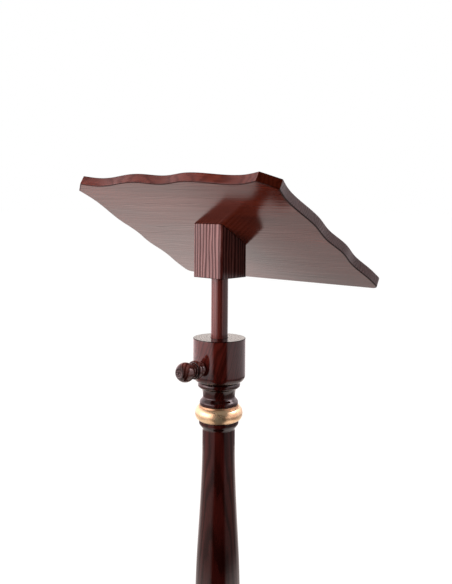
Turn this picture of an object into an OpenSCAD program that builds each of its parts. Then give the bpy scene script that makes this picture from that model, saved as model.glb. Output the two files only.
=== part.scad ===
// Floor lectern with a sloping scalloped desk on a rod that slides in a turned stem.
// The origin is on the floor at the stem's axis. The reader stands on the -Y side.

/* [Desk board] */
// Width of the board, over its high corners
desk_w = 480; // [400:5:560]
// Length of the board up the slope, from the stem's axis to the high edge
desk_up = 182; // [150:1:220]
// Length of the board down the slope, from the stem's axis to the low edge
desk_down = 188; // [150:1:220]
// Thickness of the board
desk_t = 18; // [16:0.5:24]
// Slope of the desk, in degrees from level
desk_tilt = 30; // [20:1:36]
// Width of each clipped high corner
clip_w = 30; // [15:1:45]
// Length of each clipped high corner, down the slope
clip_l = 24; // [15:1:40]
// Radius of the low corners
low_corner_r = 14; // [8:1:20]
// Depth of the troughs in each side, in from the full width
side_trough = 8.5; // [5:0.5:12]
// Depth of the crests in each side, in from the full width
side_crest = 3; // [1:0.5:4.5]
// Depth of the outer troughs in the high edge
high_trough = 8.5; // [5:0.5:12]
// Height of the crests of the high edge
high_crest = 3; // [1:0.5:5]
// Depth of the middle trough in the high edge
mid_trough = 4.5; // [2:0.5:8]

/* [Book ledge] */
// Length of the ledge that the book stands on
ledge_w = 400; // [300:5:440]
// Thickness of the ledge, up the slope
ledge_t = 16; // [12:1:20]
// Height of the ledge above the board
ledge_h = 24; // [16:1:36]
// Radius of the hollow cut at each end of the ledge
ledge_cove_r = 14; // [6:1:15]
// Diameter of the dowels under the ledge
dowel_d = 6; // [5:0.5:8]
// Depth of each dowel in the board, and in the ledge
dowel_in = 11; // [8:0.5:13]
// Spacing of the three ledge dowels
dowel_gap = 150; // [80:5:180]

/* [Head block] */
// Width of the square block under the board
block_w = 70; // [64:1:90]
// Height of the block on the stem's axis
block_h = 78; // [72:1:100]
// Width of the chamfer on the block's upright edges
block_edge = 3; // [1:0.5:5]
// Depth of the rod's socket in the block
socket_h = 46; // [30:1:52]
// Diameter of the wood screws that hold the board on the block
screw_d = 4.5; // [3.5:0.5:5]
// Depth of those screws in the block
screw_in = 20; // [12:1:22]
// Diameter of the screw heads
screw_head_d = 9; // [7:0.5:9.5]
// Height of the screw heads
screw_head_h = 3; // [2:0.5:4]
// Diameter of the wood plugs over the screws
plug_d = 10; // [10:0.5:14]
// Length of the wood plugs
plug_h = 5; // [3:0.5:6]

/* [Rod] */
// Diameter of the rod
rod_d = 31; // [26:0.5:34]
// Length of rod that shows at rest
rod_show = 111; // [90:1:140]
// Travel of the rod up from rest, which sets its hidden length
rod_rise = 200; // [120:5:240]
// Travel of the rod down from rest, which sets the depth of the column's bore
rod_drop = 109; // [60:1:109]
// Thickness of the guide disc at the rod's lower end
guide_t = 12; // [8:1:16]
// Wall of the guide disc beyond the rod
guide_wall = 2; // [1:0.5:2.5]
// Diameter of the screw that holds the guide disc
guide_screw_d = 6; // [5:0.5:8]
// Length of that screw in the rod
guide_screw_in = 40; // [25:1:60]

/* [Clamp head] */
// Diameter of the clamp head's drum
head_d = 96; // [88:1:110]
// Height of the clamp head, above the gilt ring
head_h = 122; // [120:1:140]
// Height of the drum with its full diameter
drum_h = 67.5; // [64:0.5:69]
// Diameter of the bead under the drum
bead_d = 78; // [74:0.5:80]
// Diameter of the neck under the bead
neck_d = 59; // [57:0.5:63]
// Diameter of the flare over the gilt ring
flare_d = 70.5; // [68:0.5:74]
// Diameter of the tenon that joins the head to the column
tenon_d = 46; // [43:0.5:48]
// Length of the tenon inside the column
tenon_in = 28; // [15:1:40]

/* [Clamp screw] */
// Depth of the clamp screw's axis below the top of the drum
clamp_down = 49.5; // [40:0.5:54]
// Diameter of the clamp stud, over its thread
stud_d = 8; // [6:0.5:10]
// Pitch of the stud's thread
stud_pitch = 1.25; // [1:0.05:2]
// Diameter of the brass insert that the stud turns in
insert_d = 14; // [12.5:0.5:18]
// Length of the brass insert
insert_l = 15; // [10:1:20]
// Length of the pressure pad between the stud and the rod
pad_l = 6; // [4:0.5:8]
// Diameter of the knob's ball
ball_d = 35; // [32:0.5:38]
// Diameter of the knob's flange
flange_d = 34; // [29:0.5:36]
// Diameter of the knob's waist
waist_d = 21; // [18:0.5:24]
// Length of the knob, from its flange to its rounded front
knob_l = 54; // [51:1:64]
// Room between the knob and the drum when the clamp is tight
knob_gap = 2; // [1:0.5:4]

/* [Gilt rings] */
// Diameter of the gilt rings
ring_d = 87; // [82:0.5:94]
// Height of each gilt ring
ring_h = 28; // [26:1:36]
// Height of the fillet at the ring's top
ring_fillet_h = 3; // [2:0.5:5]

/* [Column] */
// Height of the column between the two gilt rings
column_h = 577; // [520:1:700]
// Diameter of the column's fillets, next to the rings
fillet_d = 72.8; // [70:0.2:76]
// Diameter of the column's waist, next to the fillets
column_waist_d = 60; // [58:0.5:64]
// Diameter of the column's belly
belly_d = 82; // [76:1:96]
// Height of the belly above the lower ring
belly_up = 235; // [180:5:280]
// Diameter of the spigot at the column's foot
spigot_d = 40; // [34:1:44]
// Length of the spigot inside the pedestal
spigot_in = 24; // [16:1:30]

/* [Base] */
// Height of the turned pedestal
pedestal_h = 84; // [76:1:110]
// Diameter of the pedestal's foot
pedestal_d = 186; // [150:2:220]
// Diameter of the round base
base_d = 420; // [420:5:520]
// Thickness of the round base
base_t = 36; // [32:1:46]
// Diameter of the bun feet
foot_d = 54; // [44:1:64]
// Height of the bun feet
foot_h = 22; // [18:1:32]
// Number of bun feet
foot_count = 4; // [4]
// Distance of each foot from the stem's axis
foot_reach = 165; // [140:1:170]
// Diameter of the peg on each foot
peg_d = 14; // [10:1:18]
// Length of the peg on each foot
peg_h = 18; // [12:1:24]
// Diameter of the felt pads
felt_d = 34; // [28:1:38]
// Thickness of the felt pads
felt_t = 3; // [2:0.5:4]

/* [Tie rod] */
// Diameter of the threaded tie rod, over its thread
tie_d = 10; // [8:1:12]
// Diameter of the threaded sleeve in the column's foot
sleeve_d = 16; // [15:1:20]
// Length of that sleeve
sleeve_l = 22; // [16:1:30]
// Diameter of the washer under the base
washer_d = 34; // [30:1:40]
// Thickness of the washer
washer_t = 3; // [2:0.5:4]
// Width of the nut across its flats
nut_w = 17; // [17:1:24]
// Height of the nut
nut_h = 8; // [6:0.5:12]

/* [Fits] */
// Radial room between pieces that slide or turn in each other
slide_gap = 0.08; // [0.05:0.01:0.1]
// Radial room between a glued or pressed piece and its hole
glue_gap = 0.1; // [0.05:0.05:0.2]
// Room between moving pieces that nearly touch
near_gap = 0.3; // [0.2:0.05:0.5]

/* [Hidden] */
$fn = 72;
curve_steps = 8;
felt_z = 0;
foot_z = felt_z + felt_t;
base_z = foot_z + foot_h;
pedestal_z = base_z + base_t;
low_ring_z = pedestal_z + pedestal_h;
column_z = low_ring_z + ring_h;
ring_z = column_z + column_h;
head_z = ring_z + ring_h;
head_top = head_z + head_h;
block_z = head_top + rod_show;
desk_z = block_z + block_h;
clamp_z = head_top - clamp_down;
tenon_z = ring_z - tenon_in;
spigot_z = low_ring_z - spigot_in;

// The guide disc stops under the tenon at the top of the rod's travel
rod_z = tenon_z - near_gap - rod_rise;
guide_z = rod_z - near_gap - guide_t;
guide_d = rod_d + 2 * guide_wall;
guide_screw_head_h = guide_screw_d * 0.6;
guide_screw_head_d = guide_screw_d * 1.8;
bore_z = guide_z - near_gap - guide_screw_head_h - rod_drop - 3;
rod_bore_d = rod_d + 2 * slide_gap;
guide_bore_d = guide_d + 2 * slide_gap;
socket_d = rod_d + 2 * glue_gap;

// The clamp screw lies along +Y: its pieces' places, out from the stem's axis
pad_y = rod_d / 2 + near_gap;
stud_y = pad_y + pad_l + near_gap;
insert_end_y = sqrt(pow(head_d / 2, 2) - pow(insert_d / 2, 2)) - 0.5;
knob_y = head_d / 2 + knob_gap;
stud_in_knob = 26;
thread_bore_d = stud_d + 2 * slide_gap;
pad_d = stud_d + 2;
pad_bore_d = pad_d + 2 * slide_gap;

// The screws go square to the board, two low and two high, on both sides of the rod
screw_x = max(rod_d / 2 + screw_d + 2, block_w * 0.31);
screw_low = -min(20, block_w * 0.29);
screw_high = 13;
screw_spots = [for (x = [-screw_x, screw_x], v = [screw_low, screw_high]) [x, v]];
plug_z = desk_t - plug_h;
screw_head_z = plug_z - screw_head_h;
ledge_y = -desk_down;

// The tie rod runs from the nut under the base into the sleeve in the column's foot
well_h = washer_t + nut_h + 6;
well_d = washer_d + 6;
washer_z = base_z + well_h - washer_t;
nut_z = washer_z - nut_h;
tie_z = nut_z - 4;
tie_top = spigot_z + sleeve_l + 6;
tie_hole_d = tie_d + 1;

stain = [0.30, 0.09, 0.06];
pale_wood = [0.80, 0.62, 0.42];
gilt = [0.86, 0.66, 0.36];
brass = [0.80, 0.62, 0.30];
steel = [0.62, 0.63, 0.65];
felt = [0.16, 0.12, 0.10];

// A quarter of an ellipse from p to q, which leaves p either level or upright
function quarter(p, q, level) = [for (i = [0:curve_steps])
    let (a = 90 * i / curve_steps, s = sin(a), c = 1 - cos(a))
    [p.x + (q.x - p.x) * (level ? s : c), p.y + (q.y - p.y) * (level ? c : s)]];

// A flowing line from p to q, upright at both ends
function flow(p, q, steps = 2 * curve_steps) = [for (i = [0:steps])
    [p.x + (q.x - p.x) * (1 - cos(180 * i / steps)) / 2, p.y + (q.y - p.y) * i / steps]];

// A half-round moulding that stands out to r_out, from p up to q
function bead(p, q, r_out) = concat(
    quarter(p, [r_out, (p.y + q.y) / 2], true),
    quarter([r_out, (p.y + q.y) / 2], q, false));

// Waves through crests and troughs, each [share of the way, height out], with a steep start
function waves(stops) = concat([stops[0]], [for (k = [1:len(stops) - 1], i = [1:curve_steps])
    let (t = i / curve_steps, p = stops[k - 1], q = stops[k],
         rise = k == 1 ? sin(90 * t) : (1 - cos(180 * t)) / 2)
    [p.x + (q.x - p.x) * t, p.y + (q.y - p.y) * rise]]);

side_stops = [[0, 0], [0.125, -side_trough], [0.32, -side_crest], [0.465, -side_trough],
              [0.6, -side_crest], [0.735, -side_trough], [0.9, -side_crest]];
high_stops = [[0, 0], [0.23, -high_trough], [0.7, high_crest], [1, -mid_trough]];

// One half of the board's outline, from the middle of the low edge round to the high edge
side_l = desk_up + desk_down - clip_l;
half_high = desk_w / 2 - clip_w;
half_desk = concat(
    quarter([desk_w / 2 - side_crest - low_corner_r, -desk_down],
            [desk_w / 2 - side_crest, low_corner_r - desk_down], true),
    [for (w = reverse(waves(side_stops))) [desk_w / 2 + w.y, desk_up - clip_l - w.x * side_l]],
    [for (w = waves(high_stops)) [half_high * (1 - w.x), desk_up + w.y]]);

function reverse(list) = [for (i = [len(list) - 1:-1:0]) list[i]];

module on_desk() {
    translate([0, 0, desk_z]) rotate([desk_tilt, 0, 0]) children();
}

module desk_outline() {
    polygon(concat(half_desk, [for (p = reverse(half_desk)) if (p.x > 0.001) [-p.x, p.y]]));
}

module at_screws(z) {
    for (s = screw_spots) translate([s.x, s.y, z]) children();
}

module at_dowels(z) {
    for (i = [-1:1]) translate([i * dowel_gap, ledge_y + ledge_t / 2, z]) children();
}

module desk_board() {
    color(stain) on_desk() difference() {
        linear_extrude(desk_t) desk_outline();
        at_screws(-1) cylinder(h = desk_t, d = screw_d + 2 * glue_gap);
        at_screws(screw_head_z) cylinder(h = desk_t, d = plug_d + 2 * glue_gap);
        at_dowels(desk_t - dowel_in) cylinder(h = desk_t, d = dowel_d + 2 * glue_gap);
    }
}

module book_ledge() {
    color(stain) on_desk() difference() {
        translate([0, ledge_y + ledge_t, desk_t]) rotate([90, 0, 0]) linear_extrude(ledge_t) difference() {
            translate([-ledge_w / 2, 0]) square([ledge_w, ledge_h]);
            for (side = [-1, 1]) translate([side * ledge_w / 2, ledge_h]) circle(ledge_cove_r);
        }
        at_dowels(desk_t - 1) cylinder(h = dowel_in + 1, d = dowel_d + 2 * glue_gap);
    }
}

module ledge_dowels() {
    color(pale_wood) on_desk() at_dowels(desk_t - dowel_in + glue_gap)
        cylinder(h = 2 * (dowel_in - glue_gap), d = dowel_d);
}

module head_block() {
    color(stain) difference() {
        translate([0, 0, block_z]) linear_extrude(block_h + block_w) difference() {
            square(block_w, center = true);
            for (turn = [0:90:270]) rotate(turn) translate([block_w / 2, block_w / 2])
                rotate(45) square([block_edge * sqrt(2), block_w], center = true);
        }
        on_desk() translate([-block_w, -2 * block_w, 0]) cube([2 * block_w, 4 * block_w, 2 * block_w]);
        translate([0, 0, block_z - 1]) cylinder(h = socket_h + 1, d = socket_d);
        on_desk() at_screws(-screw_in - glue_gap) cylinder(h = screw_in + 1, d = screw_d + 2 * glue_gap);
    }
}

module block_screws() {
    color(steel) on_desk() at_screws(-screw_in) union() {
        cylinder(h = screw_in + screw_head_z + 0.5, d = screw_d);
        translate([0, 0, screw_in + screw_head_z]) difference() {
            cylinder(h = screw_head_h - glue_gap, d = screw_head_d);
            translate([-screw_head_d, -0.5, screw_head_h / 2]) cube([2 * screw_head_d, 1, screw_head_h]);
        }
    }
}

module screw_plugs() {
    color(stain) on_desk() at_screws(plug_z) cylinder(h = plug_h, d = plug_d);
}

module rod() {
    color(stain) difference() {
        translate([0, 0, rod_z]) cylinder(h = block_z + socket_h - glue_gap - rod_z, d = rod_d);
        translate([0, 0, rod_z - 1]) cylinder(h = guide_screw_in + 2, d = guide_screw_d + 2 * glue_gap);
    }
}

module guide_disc() {
    color(pale_wood) translate([0, 0, guide_z]) difference() {
        cylinder(h = guide_t, d = guide_d);
        translate([0, 0, -1]) cylinder(h = guide_t + 2, d = guide_screw_d + 2 * slide_gap);
    }
}

module guide_screw() {
    color(steel) translate([0, 0, guide_z - near_gap]) {
        translate([0, 0, -guide_screw_head_h]) cylinder(h = guide_screw_head_h, d = guide_screw_head_d);
        translate([0, 0, -0.5]) cylinder(h = guide_t + 2 * near_gap + guide_screw_in + 0.5, d = guide_screw_d);
    }
}

// Where the mouldings of the clamp head stop, down from the top of the drum
ovolo_z = head_top - drum_h - 12.5;
bead_z = ovolo_z - 10;
neck_z = bead_z - 16.5;
flare_z = head_z + 5;

module clamp_head() {
    color(stain) difference() {
        rotate_extrude() polygon(concat(
            [[0, tenon_z], [tenon_d / 2, tenon_z], [tenon_d / 2, head_z], [flare_d / 2 - 1.5, head_z]],
            quarter([flare_d / 2 - 1.5, head_z], [flare_d / 2, head_z + 2], true),
            flow([flare_d / 2, flare_z], [neck_d / 2, neck_z], curve_steps),
            quarter([neck_d / 2, neck_z], [bead_d / 2 - 4, bead_z - 0.5], false),
            bead([bead_d / 2 - 3, bead_z], [bead_d / 2 - 2.5, ovolo_z], bead_d / 2),
            quarter([bead_d / 2 - 2.5, ovolo_z], [head_d / 2, head_top - drum_h], true),
            [[head_d / 2, head_top - 0.8], [head_d / 2 - 0.8, head_top], [0, head_top]]));
        translate([0, 0, tenon_z - 1]) cylinder(h = head_top - tenon_z + 2, d = rod_bore_d);
        along_clamp(0) cylinder(h = head_d / 2, d = pad_bore_d);
        along_clamp(insert_end_y - insert_l - glue_gap) cylinder(h = head_d, d = insert_d + 2 * glue_gap);
    }
}

module along_clamp(y) {
    translate([0, y, clamp_z]) rotate([-90, 0, 0]) children();
}

module thread_insert() {
    color(brass) along_clamp(insert_end_y - insert_l) difference() {
        cylinder(h = insert_l, d = insert_d);
        translate([0, 0, -1]) cylinder(h = insert_l + 2, d = thread_bore_d);
    }
}

module pressure_pad() {
    color(brass) along_clamp(pad_y) cylinder(h = pad_l, d = pad_d);
}

module clamp_stud() {
    color(steel) along_clamp(stud_y) union() {
        cylinder(h = stud_pitch, d1 = stud_d - 2, d2 = stud_d);
        translate([0, 0, stud_pitch - 0.01]) cylinder(h = knob_y + stud_in_knob - stud_y - stud_pitch, d = stud_d);
    }
}

// Places along the knob, out from its inner end
knob_collar_h = 9;
flange_top = knob_collar_h + 10;
ball_front = 2.5;

module clamp_knob() {
    ball_mid = knob_l + ball_front - ball_d / 2;
    ball_start = -acos(waist_d / ball_d);
    color(stain) along_clamp(knob_y) difference() {
        rotate_extrude() polygon(concat(
            [[0, 0], [flange_d / 2 - 4, 0]],
            quarter([flange_d / 2 - 4, 0], [flange_d / 2 - 5.5, knob_collar_h - 2], false),
            bead([flange_d / 2 - 4, knob_collar_h], [flange_d / 2 - 3, flange_top], flange_d / 2),
            flow([flange_d / 2 - 4, flange_top + 1],
                 [waist_d / 2, ball_mid + sin(ball_start) * ball_d / 2 - 0.5], curve_steps),
            [for (i = [0:14]) let (a = ball_start + (60 - ball_start) * i / 14)
                [cos(a) * ball_d / 2, ball_mid + sin(a) * ball_d / 2]],
            [[ball_d * 0.19, knob_l - 0.4], [ball_d * 0.08, knob_l], [0, knob_l]]));
        translate([0, 0, -1]) cylinder(h = stud_in_knob + 1.5, d = stud_d + 2 * glue_gap);
    }
}

module gilt_ring(z, hole_d) {
    color(gilt) translate([0, 0, z]) difference() {
        rotate_extrude() polygon(concat(
            [[0, 0], [ring_d / 2 - 7.5, 0]],
            quarter([ring_d / 2 - 7.5, 0], [ring_d / 2 - 6.5, 1.5], true),
            quarter([ring_d / 2 - 6, 1.5], [ring_d / 2, ring_h * 0.45], true),
            quarter([ring_d / 2, ring_h * 0.45], [ring_d / 2 - 7, ring_h - ring_fillet_h], false),
            [[ring_d / 2 - 7.5, ring_h - ring_fillet_h], [ring_d / 2 - 7.5, ring_h], [0, ring_h]]));
        translate([0, 0, -1]) cylinder(h = ring_h + 2, d = hole_d + 2 * glue_gap);
    }
}

module upper_ring() {
    gilt_ring(ring_z, tenon_d);
}

module lower_ring() {
    gilt_ring(low_ring_z, spigot_d);
}

module column() {
    waist_r = column_waist_d / 2;
    fillet_r = fillet_d / 2;
    color(stain) difference() {
        rotate_extrude() polygon(concat(
            [[0, spigot_z], [spigot_d / 2 - 1, spigot_z], [spigot_d / 2, spigot_z + 1]],
            [[spigot_d / 2, column_z], [fillet_r, column_z]],
            flow([fillet_r, column_z + 5], [waist_r, column_z + 17]),
            bead([waist_r, column_z + 22], [waist_r, column_z + 32], waist_r + 4),
            flow([waist_r - 1, column_z + 34], [belly_d / 2, column_z + belly_up]),
            flow([belly_d / 2, column_z + belly_up], [waist_r, ring_z - 36]),
            flow([waist_r, ring_z - 17], [fillet_r, ring_z - 5]),
            [[fillet_r, ring_z], [0, ring_z]]));
        translate([0, 0, bore_z]) cylinder(h = ring_z, d = guide_bore_d);
        translate([0, 0, tenon_z]) cylinder(h = ring_z, d = tenon_d + 2 * glue_gap);
        translate([0, 0, spigot_z - 1]) cylinder(h = sleeve_l + 1 + glue_gap, d = sleeve_d + 2 * glue_gap);
        translate([0, 0, spigot_z]) cylinder(h = tie_top + 2 - spigot_z, d = tie_hole_d);
    }
}

module pedestal() {
    top_r = fillet_d / 2;
    foot_r = pedestal_d / 2;
    color(stain) translate([0, 0, pedestal_z]) difference() {
        rotate_extrude() polygon(concat(
            [[0, 0], [foot_r, 0], [foot_r, 7]],
            reverse(quarter([top_r + 2, pedestal_h - 20], [foot_r - 4, 9], false)),
            [[top_r + 2, pedestal_h - 18], [top_r, pedestal_h - 18], [top_r, pedestal_h - 15]],
            bead([top_r + 1, pedestal_h - 15], [top_r + 1, pedestal_h - 4], top_r + 6),
            [[top_r, pedestal_h - 4], [top_r, pedestal_h], [0, pedestal_h]]));
        translate([0, 0, pedestal_h - spigot_in - glue_gap]) cylinder(h = pedestal_h, d = spigot_d + 2 * glue_gap);
        translate([0, 0, -1]) cylinder(h = pedestal_h, d = tie_hole_d);
    }
}

module at_foot(i, z) {
    rotate(45 + i * 360 / foot_count) translate([foot_reach, 0, z]) children();
}

module base_disc() {
    base_r = base_d / 2;
    color(stain) difference() {
        translate([0, 0, base_z]) rotate_extrude() polygon(concat(
            [[0, 0], [base_r - 5, 0]],
            quarter([base_r - 5, 0], [base_r, 5], true),
            quarter([base_r, base_t - 22], [base_r - 5, base_t - 17], false),
            [[base_r - 8, base_t - 17]],
            reverse(quarter([base_r - 24, base_t - 3], [base_r - 8, base_t - 15], true)),
            [[base_r - 27, base_t - 3], [base_r - 27, base_t - 1], [base_r - 28, base_t], [0, base_t]]));
        translate([0, 0, base_z - 1]) cylinder(h = base_t + 2, d = tie_hole_d);
        translate([0, 0, base_z - 1]) cylinder(h = well_h + 1, d = well_d);
        for (i = [0:foot_count - 1]) at_foot(i, base_z - 1)
            cylinder(h = peg_h + 1 + glue_gap, d = peg_d + 2 * glue_gap);
    }
}

module foot(i) {
    r = foot_d / 2;
    color(stain) at_foot(i, foot_z) rotate_extrude() polygon(concat(
        [[0, 0], [felt_d / 2 + 1, 0]],
        quarter([felt_d / 2 + 1, 0], [r, foot_h * 0.45], true),
        quarter([r, foot_h * 0.45], [r - 8, foot_h], false),
        [[peg_d / 2, foot_h], [peg_d / 2, foot_h + peg_h - 1], [peg_d / 2 - 1, foot_h + peg_h], [0, foot_h + peg_h]]));
}

module felt_pad(i) {
    color(felt) at_foot(i, felt_z) cylinder(h = felt_t, d = felt_d);
}

module tie_sleeve() {
    color(brass) translate([0, 0, spigot_z]) difference() {
        cylinder(h = sleeve_l, d = sleeve_d);
        translate([0, 0, -1]) cylinder(h = sleeve_l + 2, d = tie_d + 2 * glue_gap);
    }
}

module tie_rod() {
    color(steel) translate([0, 0, tie_z]) union() {
        cylinder(h = 1, d1 = tie_d - 2, d2 = tie_d);
        translate([0, 0, 0.99]) cylinder(h = tie_top - tie_z - 1.99, d = tie_d);
        translate([0, 0, tie_top - tie_z - 1.01]) cylinder(h = 1, d1 = tie_d, d2 = tie_d - 2);
    }
}

module tie_washer() {
    color(steel) translate([0, 0, washer_z]) difference() {
        cylinder(h = washer_t, d = washer_d);
        translate([0, 0, -1]) cylinder(h = washer_t + 2, d = tie_d + 4 * glue_gap);
    }
}

module tie_nut() {
    color(steel) translate([0, 0, nut_z]) difference() {
        cylinder(h = nut_h, d = nut_w / cos(30), $fn = 6);
        translate([0, 0, -1]) cylinder(h = nut_h + 2, d = tie_d + 2 * glue_gap);
    }
}

desk_board();
book_ledge();
ledge_dowels();
head_block();
block_screws();
screw_plugs();
rod();
guide_disc();
guide_screw();
clamp_head();
thread_insert();
pressure_pad();
clamp_stud();
clamp_knob();
upper_ring();
column();
lower_ring();
pedestal();
base_disc();
foot(0);  // foot_1
foot(1);  // foot_2
foot(2);  // foot_3
foot(3);  // foot_4
felt_pad(0);  // felt_1
felt_pad(1);  // felt_2
felt_pad(2);  // felt_3
felt_pad(3);  // felt_4
tie_sleeve();
tie_rod();
tie_washer();
tie_nut();
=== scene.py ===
import math

import bpy
from mathutils import Matrix, Quaternion, Vector


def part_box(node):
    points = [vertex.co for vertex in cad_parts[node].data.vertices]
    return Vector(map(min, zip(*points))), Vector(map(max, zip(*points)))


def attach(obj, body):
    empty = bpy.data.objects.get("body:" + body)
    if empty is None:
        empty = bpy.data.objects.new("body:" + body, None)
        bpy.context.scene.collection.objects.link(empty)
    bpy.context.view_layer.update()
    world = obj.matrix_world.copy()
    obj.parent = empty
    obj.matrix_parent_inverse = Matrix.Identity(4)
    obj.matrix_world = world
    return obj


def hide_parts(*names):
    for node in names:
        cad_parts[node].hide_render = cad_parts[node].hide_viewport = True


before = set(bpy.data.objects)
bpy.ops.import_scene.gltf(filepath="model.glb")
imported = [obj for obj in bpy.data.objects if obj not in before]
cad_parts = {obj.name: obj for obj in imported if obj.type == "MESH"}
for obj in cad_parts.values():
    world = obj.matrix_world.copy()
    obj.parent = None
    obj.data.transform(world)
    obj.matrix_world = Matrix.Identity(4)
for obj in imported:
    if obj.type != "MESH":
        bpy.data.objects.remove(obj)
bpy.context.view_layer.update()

MM = 0.001

# Sizes of the lectern in millimetres, the same as the construction's
DESK_W = 480
DESK_UP = 182
DESK_DOWN = 188
DESK_T = 18
DESK_TILT = math.radians(30)
CLIP_W = 30
CLIP_L = 24
LOW_CORNER_R = 14
SIDE_TROUGH = 8.5
SIDE_CREST = 3
HIGH_TROUGH = 8.5
HIGH_CREST = 3
MID_TROUGH = 4.5
LEDGE_W = 400
LEDGE_T = 16
LEDGE_H = 24
LEDGE_COVE_R = 14
BLOCK_W = 70
BLOCK_H = 78
BLOCK_EDGE = 3
SOCKET_H = 46
PLUG_D = 10
PLUG_H = 5
PLUG_X = 22
PLUG_LOW = -20
PLUG_HIGH = 13
ROD_D = 31
GUIDE_R = ROD_D / 2 + 2
GUIDE_SCREW_D = 6
GUIDE_SCREW_IN = 40
HEAD_D = 96
DRUM_H = 67.5
BEAD_D = 78
NECK_D = 59
FLARE_D = 70.5
TENON_D = 46
STUD_D = 8
STUD_PITCH = 1.25
INSERT_D = 14
PAD_D = 10
KNOB_L = 54
BALL_D = 35
FLANGE_D = 34
WAIST_D = 21
RING_D = 87
RING_H = 28
RING_FILLET_H = 3
FILLET_D = 72.8
COLUMN_WAIST_D = 60
BELLY_D = 82
BELLY_UP = 235
SPIGOT_D = 40
SPIGOT_IN = 24
PEDESTAL_H = 84
PEDESTAL_D = 186
BASE_D = 420
BASE_T = 36
WELL_D = 40
WELL_H = 17
FOOT_D = 54
FOOT_H = 22
FOOT_COUNT = 4
FOOT_REACH = 165
PEG_D = 14
PEG_H = 18
FELT_D = 34
FELT_T = 3
TIE_D = 10
TIE_PITCH = 1.5
SLEEVE_D = 16
SLEEVE_L = 22
WASHER_D = 34
WASHER_T = 3
NUT_W = 17
NUT_H = 8
SLIDE_GAP = 0.08
GLUE_GAP = 0.1
TIE_HOLE_R = TIE_D / 2 + 0.5

# Mouldings in millimetres, from the top of the stem to its foot, and a thread's depth in pitches
OVOLO_H = 12.5
BEAD_H = 10
NECK_H = 16.5
LIP_H = 5
COLLAR_H = 9
FLANGE_H = 10
BALL_FLAT = 2.5
DIMPLE_H = 1.3
RING_FACE_IN = 7.5
FILLET_H = 5
COVE_H = 12
WAIST_H = 19
BORE_UP = 180
PEDESTAL_EDGE_H = 7
BASE_EDGE_R = 5
BASE_STEP_DOWN = 17
BASE_STEP_IN = 8
BASE_OVOLO_IN = 24
BASE_RIM_IN = 27
BASE_RIM_H = 3
THREAD_DEPTH = 0.61

# Heights in millimetres, read from the frame
HEAD_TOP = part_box("clamp_head")[1].z / MM
TENON_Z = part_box("clamp_head")[0].z / MM
BLOCK_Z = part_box("head_block")[0].z / MM
DESK_Z = BLOCK_Z + BLOCK_H
ROD_Z, ROD_TOP = (corner.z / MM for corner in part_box("rod"))
GUIDE_Z, GUIDE_TOP = (corner.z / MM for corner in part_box("guide_disc"))
RING_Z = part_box("upper_ring")[0].z / MM
LOW_RING_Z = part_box("lower_ring")[0].z / MM
COLUMN_Z = LOW_RING_Z + RING_H
SPIGOT_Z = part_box("column")[0].z / MM
PEDESTAL_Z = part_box("pedestal")[0].z / MM
BASE_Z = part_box("base_disc")[0].z / MM
FOOT_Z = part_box("foot_1")[0].z / MM
WASHER_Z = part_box("tie_washer")[0].z / MM
NUT_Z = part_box("tie_nut")[0].z / MM
TIE_Z, TIE_TOP = (corner.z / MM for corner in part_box("tie_rod"))

# Places along the clamp screw, out from the stem's axis, read from the frame
CLAMP_Z = (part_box("pressure_pad")[0].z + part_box("pressure_pad")[1].z) / 2 / MM
PAD_Y, PAD_END_Y = (corner.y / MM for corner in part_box("pressure_pad"))
STUD_Y, STUD_END_Y = (corner.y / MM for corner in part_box("clamp_stud"))
INSERT_Y, INSERT_END_Y = (corner.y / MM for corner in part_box("thread_insert"))
KNOB_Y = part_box("clamp_knob")[0].y / MM

# Camera: fitted to the photograph's edges
CAMERA_TURN = math.radians(41.69)
CAMERA_DISTANCE = 1.3858
CAMERA_ABOVE_HEAD = 0.2491
CAMERA_ROLL = math.radians(0.41)
FOCAL_PX = 755.67
AXIS_PX = (220.33, 201.63)
FRAME_PX = (452, 584)
SENSOR_MM = 36

# The kinds of node that come most often
BUMP = "ShaderNodeBump"
MATH = "ShaderNodeMath"
MAP_RANGE = "ShaderNodeMapRange"
MAPPING = "ShaderNodeMapping"
TEX_NOISE = "ShaderNodeTexNoise"


def add(tree, kind, settings=None, **links):
    """Adds a node. settings are its properties, or the name of its operation.

    links are its inputs, each a value, a node or a socket."""
    node = tree.nodes.new(kind)
    if isinstance(settings, str):
        settings = {"operation": settings}
    for name, value in (settings or {}).items():
        setattr(node, name, value)
    for name, value in links.items():
        key = int(name[1:]) if name[1:].isdigit() else name.replace("_", " ")
        if isinstance(value, bpy.types.Node):
            value = value.outputs[0]
        if isinstance(value, bpy.types.NodeSocket):
            tree.links.new(value, node.inputs[key])
        else:
            node.inputs[key].default_value = value
    return node


def put(name, data):
    """Puts an object in the scene."""
    piece = bpy.data.objects.new(name, data)
    bpy.context.scene.collection.objects.link(piece)
    return piece


def colour(hex_text):
    """An sRGB hex colour as linear values."""
    parts = [int(hex_text[i:i + 2], 16) / 255 for i in (1, 3, 5)]
    return tuple(c / 12.92 if c <= 0.04045 else ((c + 0.055) / 1.055) ** 2.4 for c in parts) + (1.0,)


def luminance(hex_text):
    """How bright a colour is, from 0 to 1."""
    red, green, blue = colour(hex_text)[:3]
    return 0.2126 * red + 0.7152 * green + 0.0722 * blue


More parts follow.
